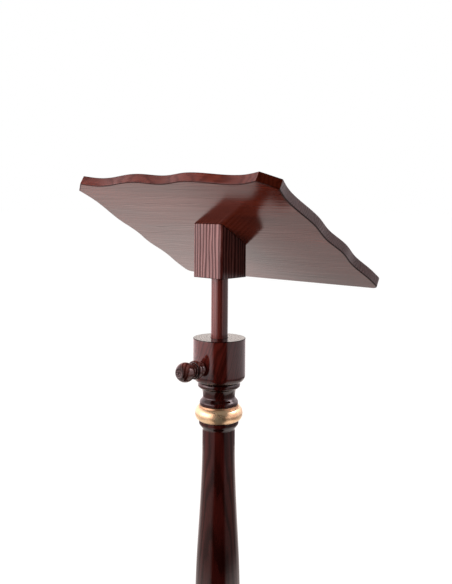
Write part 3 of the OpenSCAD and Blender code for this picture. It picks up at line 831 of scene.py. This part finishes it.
def make_ring(name, z, hole_d, node):
    hole, top, widest = hole_d / 2 + GLUE_GAP, z + RING_H, (RING_D / 2, z + RING_H * 0.45)
    face, fillet_z = RING_D / 2 - RING_FACE_IN, top - RING_FILLET_H
    profile = [(hole, z + 5), (hole, z), (face, z)]
    profile += quarter((face, z), (face + 1, z + 1.5), True)
    profile += quarter((face + 1.5, z + 1.5), widest, True, 18)
    profile += quarter(widest, (face + 0.5, fillet_z), False, 18)
    profile += [(face, fillet_z), (face, top), (hole, top), (hole, z + 5)]
    fit(turned(name, profile, GOLD, ease=0.5, segments=144), "stand", "gilt", node)


def make_column():
    waist, fillet, belly, spigot = COLUMN_WAIST_D / 2, FILLET_D / 2, BELLY_D / 2, SPIGOT_D / 2
    bore, socket, sleeve = GUIDE_R + SLIDE_GAP, TENON_D / 2 + GLUE_GAP, SLEEVE_D / 2 + GLUE_GAP
    bore_z, sleeve_z, belly_z = SPIGOT_Z + BORE_UP, SPIGOT_Z + SLEEVE_L, COLUMN_Z + BELLY_UP
    cove_low, cove_high = COLUMN_Z + FILLET_H + COVE_H, RING_Z - FILLET_H - COVE_H
    bead_z, bead_top = cove_low + FILLET_H, cove_low + FILLET_H + BEAD_H
    profile = [(0, bore_z), (bore, bore_z), (bore, TENON_Z), (socket, TENON_Z), (socket, RING_Z),
               (fillet, RING_Z)]
    profile += flow((fillet, RING_Z - FILLET_H), (waist, cove_high))
    profile += flow((waist, cove_high - WAIST_H), (belly, belly_z))
    profile += flow((belly, belly_z), (waist - 1, bead_top + 2))
    profile += bead((waist, bead_z), (waist, bead_top), waist + 4)[::-1]
    profile += flow((waist, cove_low), (fillet, COLUMN_Z + FILLET_H))
    profile += [(fillet, COLUMN_Z), (spigot, COLUMN_Z), (spigot, SPIGOT_Z), (sleeve, SPIGOT_Z),
                (sleeve, sleeve_z), (TIE_HOLE_R, sleeve_z), (TIE_HOLE_R, TIE_TOP + 2), (0, TIE_TOP + 2)]
    column = turned("turned_column", profile, TURNED_WOOD, ease=0.8, segments=128)
    fit(column, "stand", "stained_wood", "column")


def make_pedestal():
    top, out, socket, hole = FILLET_D / 2, PEDESTAL_D / 2, SPIGOT_D / 2 + GLUE_GAP, TIE_HOLE_R
    bead_z, bead_top, socket_z = PEDESTAL_H - 15, PEDESTAL_H - 4, PEDESTAL_H - SPIGOT_IN
    bell_top = bead_z - 3
    profile = [(hole, 20), (hole, 0), (out, 0), (out, PEDESTAL_EDGE_H)]
    profile += quarter((top + 2, bell_top - 2), (out - 4, PEDESTAL_EDGE_H + 2), False, 30)[::-1]
    profile += [(top + 2, bell_top), (top, bell_top), (top, bead_z)]
    profile += bead((top + 1, bead_z), (top + 1, bead_top), top + 6)
    profile += [(top, bead_top), (top, PEDESTAL_H), (socket, PEDESTAL_H), (socket, socket_z),
                (hole, socket_z), (hole, 20)]
    pedestal = turned("bell_pedestal", profile, TURNED_WOOD, ease=0.8, segments=144, foot=PEDESTAL_Z)
    fit(pedestal, "stand", "stained_wood", "pedestal")


def make_base():
    r, edge, hole, well = BASE_D / 2, BASE_EDGE_R, TIE_HOLE_R, WELL_D / 2
    step, ovolo, rim = r - BASE_STEP_IN, r - BASE_OVOLO_IN, r - BASE_RIM_IN
    step_z, rim_z = BASE_T - BASE_STEP_DOWN, BASE_T - BASE_RIM_H
    profile = [(hole, WELL_H + 5), (hole, WELL_H), (well, WELL_H), (well, 0), (r - edge, 0)]
    profile += quarter((r - edge, 0), (r, edge), True)
    profile += quarter((r, step_z - edge), (r - edge, step_z), False)
    profile += [(step, step_z)] + quarter((ovolo, rim_z), (step, step_z + 2), True)[::-1]
    profile += [(rim, rim_z), (rim, BASE_T), (hole, BASE_T), (hole, WELL_H + 5)]
    base = turned("moulded_base", profile, BASE_WOOD, ease=0.9, segments=192, foot=BASE_Z)
    pegs = round_stem(drill(PEG_D + 2 * GLUE_GAP, BASE_Z - 1, BASE_Z + PEG_H + GLUE_GAP, BASE_WOOD))
    fit(cut(base, pegs), "stand", "stained_wood", "base_disc")


def round_stem(shape):
    return repeated(shape, CIRCLE, Count=FOOT_COUNT, Reach=FOOT_REACH * MM, Start=math.pi / 4)


def make_feet():
    peg, sole, widest = PEG_D / 2, (FELT_D / 2 + 1, 0), (FOOT_D / 2, FOOT_H * 0.45)
    profile = [(0, 0), sole] + quarter(sole, widest, True) + quarter(widest, (FOOT_D / 2 - 8, FOOT_H), False)
    profile += [(peg, FOOT_H), (peg, FOOT_H + PEG_H), (0, FOOT_H + PEG_H)]
    foot = turned("bun_feet", profile, TURNED_WOOD, ease=0.9, segments=72, foot=FOOT_Z)
    fit(round_stem(foot), "stand", "stained_wood", "foot_1", "foot_2", "foot_3", "foot_4")
    felt = turned("felt_pads", bar(FELT_D / 2, 0, FELT_T), FELT, ease=0.7, segments=64)
    fit(round_stem(felt), "stand", "felt", "felt_1", "felt_2", "felt_3", "felt_4")


def make_tie():
    tie = threaded("tie_thread", TIE_D / 2, TIE_Z, TIE_TOP, TIE_PITCH, STEEL)
    fit(tie, "stand", "steel", "tie_rod")
    washer = tube(TIE_D / 2 + 2 * GLUE_GAP, WASHER_D / 2, WASHER_Z, WASHER_Z + WASHER_T, 1)
    fit(turned("tie_washer_finished", washer, STEEL, ease=0.5), "stand", "steel", "tie_washer")
    r = NUT_W / 2 / math.cos(math.pi / 6)
    hexagon = [(r * math.cos(math.pi / 3 * i), r * math.sin(math.pi / 3 * i)) for i in range(6)]
    nut = slab("tie_nut_finished", hexagon, eased(1.2, NUT_H),
               lambda x, y, share: (x, y, NUT_Z + share * NUT_H), STEEL, cap=1.0)
    hole = drill(TIE_D + 2 * GLUE_GAP, NUT_Z - 1, NUT_Z + NUT_H + 1, STEEL)
    fit(cut(nut, hole), "stand", "steel", "tie_nut")


def finish_hidden_nodes():
    """The pieces that the construction finishes by itself get their materials."""
    for node, material in (("ledge_dowels", BEECH), ("block_screws", STEEL), ("guide_screw", STEEL),
                           ("tie_sleeve", BRASS)):
        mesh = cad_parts[node].data
        mesh.materials.clear()
        mesh.materials.append(material)


# The studio. Plans are metres to the camera's right and towards the camera, from the stem.
# The screens stand SCREEN_REACH metres off, and cards are worked out every CARD_STEP degrees
SCREEN_REACH = 2.2
FLOOR_GLOW = 0.9
CARD_STEP = 4


def studio_point(right, towards, height):
    c, t = math.cos(CAMERA_TURN), math.sin(CAMERA_TURN)
    return Vector((-c * right - t * towards, c * towards - t * right, height))


def on_circle(degrees, reach, height):
    """A point round the stem, at so many degrees to the right of the camera as the stem sees it."""
    a = math.radians(degrees)
    return studio_point(reach * math.sin(a), reach * math.cos(a), height)


def soft_edge(distance, blur):
    """0 well outside an edge and 1 well inside it, with a soft change blur wide."""
    t = min(1.0, max(0.0, distance / blur + 0.5))
    return t * t * (3 - 2 * t)


def card_level(cards, angle, measure):
    """How bright gloss sees a place where soft-edged cards lie over each other."""
    total = 0.0
    for start, end, low, high, level, side_blur, blur in cards:
        across = soft_edge(angle - start, side_blur) * soft_edge(end - angle, side_blur)
        total += level * across * soft_edge(measure - low, blur) * soft_edge(high - measure, blur)
    return total


def mirrored_cards(name, angles, measures, cards, place, material):
    """A surface that gloss shows as cards. place gives a measure's reach from the stem and its height."""
    count = len(angles)
    grid = [(a, measure) for measure in measures for a in angles]
    faces = [(k + i, k + i + 1, k + i + 1 + count, k + i + count)
             for k in range(0, len(grid) - count, count) for i in range(count - 1)]
    levels = [card_level(cards, a, measure) for a, measure in grid]
    mesh = new_mesh(name, [on_circle(a, *place(measure)) for a, measure in grid], [], faces, level=levels)
    mesh.materials.append(material)
    piece = put(name, mesh)
    return piece


def light_path(tree):
    """The kinds of ray, and whether a ray goes straight on from the camera."""
    path = add(tree, "ShaderNodeLightPath").outputs
    return path, add(tree, MATH, "MAXIMUM", i0=path["Is Camera Ray"], i1=path["Is Transmission Ray"])


def place_floor():
    """A white floor with the stand's soft shadow. Gloss shows it bright far off and dark near the camera."""
    material, tree = new_material("white_floor")
    path, direct = light_path(tree)
    seen = add(tree, MATH, "MULTIPLY", i0=direct, i1=FLOOR_GLOW)
    glow = add(tree, "ShaderNodeEmission", Strength=seen)
    paint = add(tree, "ShaderNodeBsdfDiffuse", Color=colour("#828281"))
    floor = add(tree, "ShaderNodeAddShader", i0=paint, i1=glow)
    level = add(tree, "ShaderNodeAttribute", {"attribute_name": "level"}).outputs["Fac"]
    gloss = add(tree, "ShaderNodeEmission", Color=colour("#FFF0EC"), Strength=level)
    shown = add(tree, "ShaderNodeMixShader", i0=path["Is Glossy Ray"], i1=floor, i2=gloss)
    add(tree, "ShaderNodeOutputMaterial", Surface=shown)
    # From and to in degrees, near and far in metres, level, and the softness of the sides and of both ends
    cards = ((40, 325, 0.0, 1.2, 0.94, 16, 0.4),
             (55, 125, 0.3, 1.15, 0.35, 30, 0.4),
             (128, 232, 1.25, 90, 1.36, 40, 0.4),
             (160, 205, 1.2, 90, 0.45, 30, 0.4),
             (232, 325, 1.2, 90, 0.5, 20, 0.4),
             (40, 128, 1.2, 90, 0.25, 16, 0.4))
    reaches = [0.001] + [0.2 + 0.1 * i for i in range(24)] + [4, 80]
    mirrored_cards("white_floor", range(0, 361, CARD_STEP), reaches, cards, lambda reach: (reach, 0),
                   material)


def hang_screens():
    """Cloth and card that only gloss shows: bright at the left, dark at the camera, pale at the right."""
    material, tree = new_material("cloth_and_card")
    level = add(tree, "ShaderNodeAttribute", {"attribute_name": "level"}).outputs["Fac"]
    glow = add(tree, "ShaderNodeEmission", Color=colour("#FFECEF"), Strength=level)
    add(tree, "ShaderNodeOutputMaterial", Surface=glow)
    # From and to in degrees, bottom and top in metres, level, and the softness of the sides and of both ends
    cards = ((-180, -28, -0.2, 0.32, 0.5, 12, 0.1),
             (-180, -29, 0.32, 2.1, 1.75, 16, 0.14),
             (-92, -48, 0.58, 1.7, 2.3, 26, 0.14),
             (-180, -40, 2.1, 3.6, 1.0, 16, 0.5),
             (40, 180, -0.2, 0.3, 0.35, 16, 0.1),
             (35, 180, 0.3, 0.98, 1.0, 10, 0.1),
             (47, 180, 0.98, 2.3, 1.1, 16, 0.14),
             (60, 150, 1.15, 2.1, 0.75, 20, 0.14),
             (60, 128, 2.3, 3.8, 1.15, 24, 0.3),
             (74, 110, 1.9, 3.1, 6.5, 14, 0.3))
    heights = [0.05 * i for i in range(73)]
    screen = mirrored_cards("cloth_and_card", range(-160, 161, CARD_STEP), heights, cards,
                            lambda height: (SCREEN_REACH, height), material)
    screen.visible_camera = screen.visible_diffuse = False
    screen.visible_transmission = screen.visible_shadow = False


def light_world():
    """White all round, with a warmer and dimmer ceiling in reflections."""
    world = bpy.data.worlds.new("studio")
    bpy.context.scene.world = world
    world.use_nodes = True
    tree = world.node_tree
    tree.nodes.clear()
    path, direct = light_path(tree)
    towards = add(tree, "ShaderNodeSeparateXYZ", i0=add(tree, "ShaderNodeTexCoord").outputs["Generated"])
    ceiling = add(tree, MAP_RANGE, Value=towards.outputs[2], From_Min=0.2, From_Max=0.8, To_Min=1.65,
                  To_Max=0.1)
    gloss = add(tree, MATH, "MULTIPLY", i0=path["Is Glossy Ray"], i1=ceiling)
    soft = add(tree, MATH, "MULTIPLY", i0=path["Is Diffuse Ray"], i1=0.1)
    shown = add(tree, MATH, "MAXIMUM", i0=direct, i1=gloss)
    strength = add(tree, MATH, "MAXIMUM", i0=shown, i1=soft)
    tone = add(tree, "ShaderNodeMix", {"data_type": "RGBA"}, i0=path["Is Glossy Ray"], i6=colour("#FFFFFF"),
               i7=colour("#FFF3ED"))
    light = add(tree, "ShaderNodeBackground", Color=tone.outputs[2], Strength=strength)
    add(tree, "ShaderNodeOutputWorld", Surface=light)


def hang(lamp, place, ray):
    """Hangs a lamp that shines along a ray and that neither the camera nor gloss shows."""
    holder = put(lamp.name, lamp)
    holder.location = place
    holder.rotation_euler = ray.to_track_quat("-Z", "Y").to_euler()
    holder.visible_camera = holder.visible_glossy = False


def soft_light(name, right, towards, height, size, radiance, aim=None):
    """An area lamp aimed at the stem, level or at a height of its own."""
    lamp = bpy.data.lights.new(name, "AREA")
    lamp.shape = "RECTANGLE"
    lamp.size, lamp.size_y = size
    lamp.energy = radiance * math.pi * size[0] * size[1]
    place = studio_point(right, towards, height)
    hang(lamp, place, studio_point(0, 0, height if aim is None else aim) - place)


def sky_light(name, right, towards, up, level, width):
    """A wide, soft light from far above, so that the floor is equally white near and far."""
    lamp = bpy.data.lights.new(name, "SUN")
    lamp.angle = math.radians(width)
    lamp.energy = level * math.pi
    hang(lamp, (0, 0, 0), -studio_point(right, towards, up))


place_camera()
LATHE = turning_tree()
CIRCLE = circle_tree()
ROWS = rows_tree()

# Quarter-sawn softwood, stained dark red-brown and lacquered: fine bands of the grain under a deep gloss
BOARD_STAIN = dict(light="#612112", mid="#5A1C0E", dark="#51180B", gloss=0.13, fibre=2.4,
                   streaks=(0.92, 1.06))
STAIN = dict(light="#431410", mid="#38100C", dark="#2C0C08")
BOARD_WOOD = wood("board_lacquered_pine", "X", (0, -606, 750), 4.5, **BOARD_STAIN)
LEDGE_WOOD = wood("ledge_lacquered_pine", "X", (0, -606, 730), 4.5, **BOARD_STAIN)
PLUG_WOOD = wood("plug_lacquered_pine", "X", (0, -606, 765), 4.5, **BOARD_STAIN)
# The block's pale bands are its lighter grain, made greyer by a painted sheen mixed into their colour
BLOCK_WOOD = wood("block_lacquered_pine", "Z", (-75, 80, 0), 6, "#84504A", "#54241F", "#42130F", 0.45, 0.12,
                  streaks=(0.8, 1.15), sunk=0.45)
ROD_WOOD = wood("rod_lacquered_pine", "Z", (20, 26, 0), 4.5, "#70302A", "#692D26", "#5D261F", 0.4, 0.14)
HEAD_WOOD = wood("head_lacquered_pine", "Z", (50, -58, 0), 6.0, "#5A1D17", "#501A14", "#43140F", 1.2, lean=18,
                 sunk=0.08)
TURNED_WOOD = wood("turned_lacquered_pine", "Z", (24, -30, 0), 4.5, bend=0.5, **STAIN)
BASE_WOOD = wood("base_lacquered_pine", "X", (0, 30, -90), 5.0, **STAIN)
# The knob's tones are lighter and greyer than the stain: a painted sheen for the pale highlights on its ball
KNOB_WOOD = wood("knob_lacquered_pine", "Y", (6, 0, 855), 3.5, "#8C5650", "#733B34", "#58231B", 0.3, 0.09,
                 sunk=0.05)
# Bare beech: pale, close-grained and matt
BEECH = wood("bare_beech", "Z", (40, 30, 0), 2.5, "#D8B48C", "#CBA27A", "#B98C63", lacquer=0.0)
GOLD = gold_leaf()
# Turned brass: fine tool marks and a warm, slightly dull gloss
BRASS = metal("turned_brass", "#C9A15A", 0.3, 0.6)
# Zinc-plated steel: pale grey with a fine crystal grain
STEEL = metal("zinc_plated_steel", "#B4B6B8", 0.35, 0.5)
FELT = wool_felt()

make_board()
make_plugs()
make_ledge()
make_block()
make_rod()
make_guide()
make_clamp_head()
make_clamp_screw()
make_knob()
make_ring("upper_gilt_ring", RING_Z, TENON_D, "upper_ring")
make_ring("lower_gilt_ring", LOW_RING_Z, SPIGOT_D, "lower_ring")
make_column()
make_pedestal()
make_base()
make_feet()
make_tie()
finish_hidden_nodes()

place_floor()
hang_screens()
light_world()
soft_light("left_light", -0.75, 0.3, 1.15, (1.0, 0.7), 4.4)
soft_light("right_light", 1.8, 0.3, 2.6, (0.8, 0.8), 18, aim=0.9)
soft_light("reader_side_light", 1.2, -3.4, 1.7, (2.6, 2.4), 0.9)
sky_light("sky_light", -0.17, -0.05, 0.98, 0.33, 60)
sky_light("front_light", 0.1, 0.64, 0.77, 0.08, 30)
bpy.context.scene.view_settings.view_transform = "Standard"
